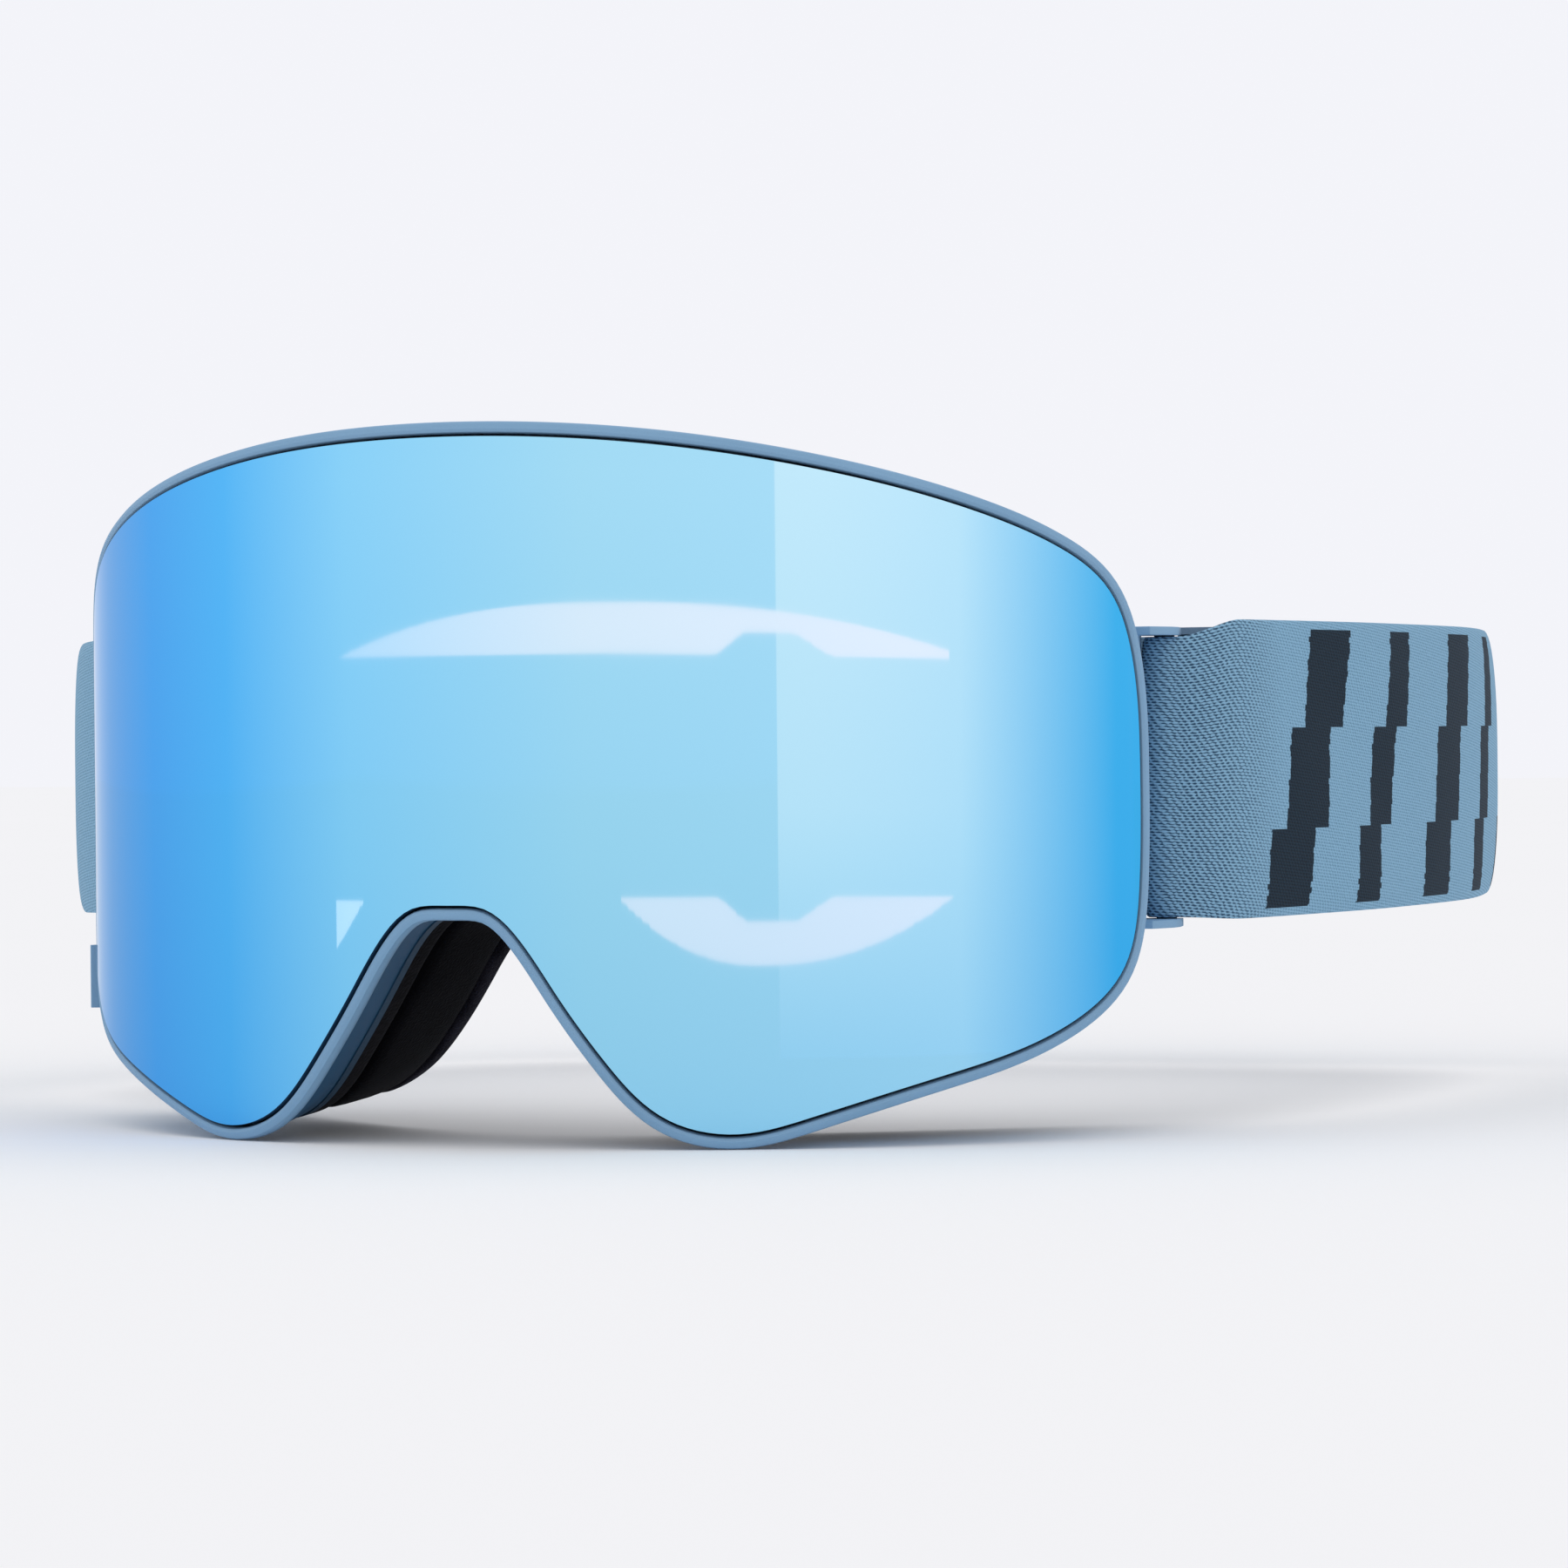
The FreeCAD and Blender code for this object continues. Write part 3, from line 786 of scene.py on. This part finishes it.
def endLoop(heading):
    # folded round the bar, drawn on the +X side
    inner = Vector((*strap["bar"], 0)) + along(heading + 90) * strap["loop"]
    route = Route(inner + along(heading) * strap["sewn"])
    route.line(strap["sewn"], heading + 180).arc(strap["loop"], heading + 180, heading + 360)
    return route.line(strap["sewn"] + 0.3, heading)


def mirrored(route):
    # the same route on the -X side
    other = Route((-route.at.x, route.at.y))
    other.points = [(Vector((-p.x, p.y, 0)), Vector((n.x, -n.y, 0)), d) for p, n, d in route.points]
    other.length = route.length
    return other


def bump(distance, middle, reach):
    # 1 at the middle, fading smoothly to 0 at this reach on both sides
    share = min(abs(distance - middle) / reach, 1)
    return (1 - share**2) ** 2


def webbingSection(half, thick):
    # across the webbing: outer side down, inner side back up, with rounded selvedges
    rows = [half * math.sin(math.pi / 2 * k / 14) for k in range(-14, 15)]
    section = []
    for sign, order in ((1, rows), (-1, rows[::-1])):
        for z in order:
            section.append((sign * thick / 2 * (1 - abs(z / half) ** 14) ** 0.5, z, sign < 0))
    return section


def ribbonPiece(name, route, section, material, outside, shape=None, height=0.0):
    # sweeps a section along a route; outside is +1 where the outer side is to the right
    points, faces, cloth = [], [], []
    count = len(section)
    for spot, left, distance in route.points:
        for shift, z, inner in section:
            stand, level = shape(distance, z) if shape else (0.0, z)
            moved = spot - left * outside * (shift + stand)
            points.append(place(moved.x, moved.y, goggle["strapHeight"] + height + level))
    for k in range(len(route.points) - 1):
        for c in range(count):
            after = (c + 1) % count
            faces.append((k * count + c, k * count + after,
                          (k + 1) * count + after, (k + 1) * count + c))
            inner = 1.0 if section[c][2] else 0.0
            for step, corner in ((k, c), (k, after), (k + 1, after), (k + 1, c)):
                cloth.append((route.points[step][2] * mm, section[corner][1] * mm + inner))
    for base in (0, (len(route.points) - 1) * count):
        faces.append(tuple(range(base, base + count)))
        cloth += [(route.points[-1][2] * mm if base else 0.0, section[c][1] * mm)
                  for c in range(count)]
    piece = newPiece(name, points, faces, material)
    layer = piece.data.uv_layers.new(name="cloth")
    layer.data.foreach_set("uv", [value for pair in cloth for value in pair])
    outward(piece)
    return smooth(piece, 70)


section = webbingSection(goggle["strapWidth"] / 2, strap["thick"])
leftRoute = endLoop(-55).arc(16, -55, -6).arc(440, -6, -4).arc(440, -4, 6).arc(320, 6, 14)
leftCorner = leftRoute.length + 17
leftRoute.arc(24, 14, 90).line(strap["rearRun"], 90)


def sewnLevel(distance, z):
    # the webbing is gathered narrower where it is sewn round its bar
    gathered = 1 - min(max((distance - 11) / 11, 0), 1)
    gathered = gathered * gathered * (3 - 2 * gathered)
    low, high = -strap["sewnLow"], strap["sewnHigh"]
    narrow = low + (z / goggle["strapWidth"] + 0.5) * (high - low)
    return z + (narrow - z) * gathered


def leftShape(distance, z):
    # selvedges turned in at the rear corner, clear of the slider; a faint wave along the arm
    edge = abs(z) / goggle["strapWidth"] * 2
    corner = bump(distance, leftCorner, 62 if distance < leftCorner else 22)
    stand = (corner * (strap["swell"] - strap["curl"] * edge**3)
             + 0.35 * bump(distance, 62, 40) * math.sin(z * 0.16 + distance * 0.07))
    return stand, sewnLevel(distance, z)


strapLeft = ribbonPiece("strapLeft", leftRoute, section, webbingLeft, 1, leftShape)
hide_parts("strap_end_left", "strap_flex_left", "strap_long")

tailRoute = Route(leftRoute.at + along(90) * 0.3)
ringBar = tailRoute.at + Vector((0, -strap["loop"], 0))
shortBar = ringBar + Vector((-strap["ringPitch"], 0, 0))
tailRoute.arc(strap["loop"], 90, 270).line(strap["tailRun"], 270)
strapTail = ribbonPiece("strapTail", tailRoute, section, webbingLeft, -1)
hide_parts("strap_tail")

rightRoute = mirrored(endLoop(-62)).arc(150, 62, 52).arc(60, 52, 30).arc(60, 30, 0).line(22, 0)
rightSide = rightRoute.length - 18
rightRoute.arc(leftRoute.at.y - rightRoute.at.y, 0, -90)
rightRoute.line(shortBar.x - rightRoute.at.x, -90).arc(strap["loop"], -90, -270).line(14, -270)


def rightShape(distance, z):
    # bowed out beside the head, where it hangs a little lower
    edge = abs(z) / goggle["strapWidth"] * 2
    stand = bump(distance, rightSide, 70) * (2.2 - 1.3 * edge**3)
    return stand, sewnLevel(distance, z) - 0.9 * bump(distance, rightSide, 60)


strapRight = ribbonPiece("strapRight", rightRoute, section, webbingRight, -1, rightShape)
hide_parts("strap_end_right", "strap_flex_right", "strap_short")
print("strap lengths", round(leftRoute.length), round(tailRoute.length), round(rightRoute.length))


def siliconeLines(name, route, low, high, outside, shape, node):
    # three half-round beads on the side that lies on the head
    bead = [(0.85 + 0.55 * math.sin(math.pi * k / 6), 0.8 * math.cos(math.pi * k / 6), False)
            for k in range(7)]
    pieces = []
    for row in (-12, 0, 12):
        part = Route((0, 0))
        part.points = [p for p in route.points if low < p[2] < high]
        pieces.append(ribbonPiece(name, part, bead, silicone, -outside,
                                  lambda d, z: (-shape(d, row)[0], z + shape(d, row)[1] - row),
                                  row))
    piece = joined(pieces)
    piece.name = piece.data.name = name
    return finished(piece, "strap", "silicone", node)


siliconeLines("siliconeLeft", leftRoute, 43, 150, 1, leftShape, "silicone_left")
siliconeLines("siliconeRight", rightRoute, 62, 116, -1, rightShape, "silicone_right")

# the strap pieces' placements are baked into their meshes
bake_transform(strapLeft)
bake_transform(strapRight)
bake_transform(strapTail)
print("strap made")


studio = {
    "background": (0.90, 0.905, 0.95),
    "sun": 0.62, "sunSpread": 80,
    "ambient": 0.75,                  # light given by the background to the floor and object
    "floorTone": (0.965, 0.965, 0.975),
    "azimuth": 24.52, "elevation": 0.45, "roll": 0.55,
    "distance": 1000.0, "lens": 148.3,
    "target": (6.09, 47.97),          # right of the lens axis, above the lens bottom
}


def world():
    # the camera and reflections see the background; the light it gives is neutral and dimmer
    sky = bpy.data.worlds.new("paleStudio")
    bpy.context.scene.world = sky
    sky.use_nodes = True
    tree = sky.node_tree
    shown = tree.nodes["Background"]
    shown.inputs["Color"].default_value = (*studio["background"], 1)
    given = tree.nodes.new("ShaderNodeBackground")
    given.inputs["Color"].default_value = (0.93, 0.93, 0.95, 1)
    given.inputs["Strength"].default_value = studio["ambient"]
    path, chosen = tree.nodes.new("ShaderNodeLightPath"), tree.nodes.new("ShaderNodeMixShader")
    tree.links.new(path.outputs["Is Diffuse Ray"], chosen.inputs[0])
    tree.links.new(shown.outputs[0], chosen.inputs[1])
    tree.links.new(given.outputs[0], chosen.inputs[2])
    tree.links.new(chosen.outputs[0], tree.nodes["World Output"].inputs["Surface"])


def floor():
    deselect()
    bpy.ops.mesh.primitive_plane_add(size=12)
    piece = bpy.context.object
    piece.name = "floor"
    paint = Paint("paleFloor", Roughness=1.0, Specular_IOR_Level=0.0,
                  Emission_Strength=0.035)
    spot = paint.position()
    tone = studio["floorTone"]
    mottle = paint.ramp(paint.noise(spot, 3, 2), [(0.3, tuple(c * 0.995 for c in tone)),
                                                  (0.7, tone)])
    paint.shader.inputs["Emission Color"].default_value = (0.95, 0.96, 1.0, 1)
    piece.data.materials.append(paint.feed(Base_Color=mottle))


def lightCard(name, radius, first, last, edges, colour, fadeTo=None):
    # an upright curved card seen only in reflections; edges(azimuth) gives its two heights
    steps = 72
    points, faces = [], []
    for i in range(steps + 1):
        azimuth = first + (last - first) * i / steps
        x, y = radius * math.sin(math.radians(azimuth)), -radius * math.cos(math.radians(azimuth))
        points += [place(x, y, z) for z in edges(azimuth)]
        if i:
            faces.append((2 * i - 2, 2 * i, 2 * i + 1, 2 * i - 1))
    piece = newPiece(name, points, faces)
    material = bpy.data.materials.new(name)
    material.use_nodes = True
    tree = material.node_tree
    tree.nodes.clear()
    glow = tree.nodes.new("ShaderNodeEmission")
    glow.inputs["Color"].default_value = (*colour, 1)
    out = tree.nodes.new("ShaderNodeOutputMaterial")
    tree.links.new(glow.outputs[0], out.inputs[0])
    if fadeTo:
        # fades out towards its last edge
        layer = piece.data.color_attributes.new("fade", "FLOAT_COLOR", "POINT")
        for k, item in enumerate(layer.data):
            share = (k // 2) / steps
            share = share * share * (3 - 2 * share)
            item.color = (*[a + (b - a) * share for a, b in zip(colour, fadeTo)], 1)
        reader = tree.nodes.new("ShaderNodeVertexColor")
        reader.layer_name = "fade"
        # and fades out towards the floor
        spot = tree.nodes.new("ShaderNodeTexCoord")
        split = tree.nodes.new("ShaderNodeSeparateXYZ")
        rise, blend = tree.nodes.new("ShaderNodeMapRange"), tree.nodes.new("ShaderNodeMix")
        rise.inputs["From Min"].default_value = 2 * mm
        rise.inputs["From Max"].default_value = 45 * mm
        blend.data_type = "RGBA"
        blend.inputs[6].default_value = (*fadeTo, 1)
        tree.links.new(spot.outputs["Object"], split.inputs[0])
        tree.links.new(split.outputs["Z"], rise.inputs["Value"])
        tree.links.new(rise.outputs[0], blend.inputs[0])
        tree.links.new(reader.outputs[0], blend.inputs[7])
        tree.links.new(blend.outputs[2], glow.inputs["Color"])
    piece.data.materials.append(material)
    piece.visible_camera = piece.visible_diffuse = piece.visible_shadow = False
    piece.visible_transmission = False


def notched(azimuth):
    # both wing cards have a softly stepped bite out of them here
    return max(0, min(1, (azimuth - 21) / 4, (37 - azimuth) / 5))


def upperWing(azimuth):
    low = 72 - 0.03 * max(0, azimuth - 5) + 3.9 * notched(azimuth)
    crown = 1 - abs((azimuth - 4) / (41 if azimuth < 4 else 50)) ** 2.3
    return low, max(low + 0.05, 72 + 8.8 * max(0, crown))


def lowerWing(azimuth):
    high = 30.3 - 0.02 * max(0, azimuth - 30) - 4.2 * notched(azimuth)
    keel = 1 - abs((azimuth - 27) / (20 if azimuth < 27 else 28)) ** 2.2
    return min(high - 0.05, 30.3 - 11.8 * max(0, keel)), high


def cornerCard(azimuth):
    return 21 + (azimuth + 38) / 5.2 * 8.4, 29.5


def camera():
    azimuth, elevation, roll = (math.radians(studio[k]) for k in ("azimuth", "elevation", "roll"))
    right = Vector((math.cos(azimuth), math.sin(azimuth), 0))
    back = Vector((math.sin(azimuth) * math.cos(elevation),
                   -math.cos(azimuth) * math.cos(elevation), math.sin(elevation)))
    up = back.cross(right)
    across, above = studio["target"]
    target = right * across + Vector((0, 0, above + goggle["floorLift"]))
    eye = place(*(target + back * studio["distance"]))
    tilted = right * math.cos(roll) - up * math.sin(roll)
    raised = up * math.cos(roll) + right * math.sin(roll)
    data = bpy.data.cameras.new("camera")
    data.lens, data.sensor_width, data.clip_end = studio["lens"], 36, 100
    holder = bpy.data.objects.new("camera", data)
    bpy.context.scene.collection.objects.link(holder)
    turn = Matrix((tilted, raised, back)).transposed().to_4x4()
    holder.matrix_world = Matrix.Translation(eye) @ turn
    bpy.context.scene.camera = holder


def softSun(power, spread):
    # even light from above, so that the floor has no pool of light and no horizon
    data = bpy.data.lights.new("overhead", "SUN")
    data.energy, data.angle = power, math.radians(spread)
    light = bpy.data.objects.new("overhead", data)
    bpy.context.scene.collection.objects.link(light)
    light.location = (0, 0, 1.5)
    light.visible_glossy = False


world()
floor()
camera()
bpy.context.scene.view_settings.view_transform = "Standard"
wingColour, panelColour = (1.8, 1.1, 1.03), (1.24, 1.02, 0.985)
lightCard("wallPanel", 312, 29.4, 84, lambda azimuth: (2, 135), panelColour,
          studio["background"])
lightCard("upperWing", 300, -37, 54, upperWing, wingColour)
lightCard("lowerWing", 300, 7.4, 54.4, lowerWing, wingColour)
lightCard("cornerCard", 300, -38, -32.8, cornerCard, (2.1, 1.25, 1.1))
softSun(studio["sun"], studio["sunSpread"])

print("studio made")
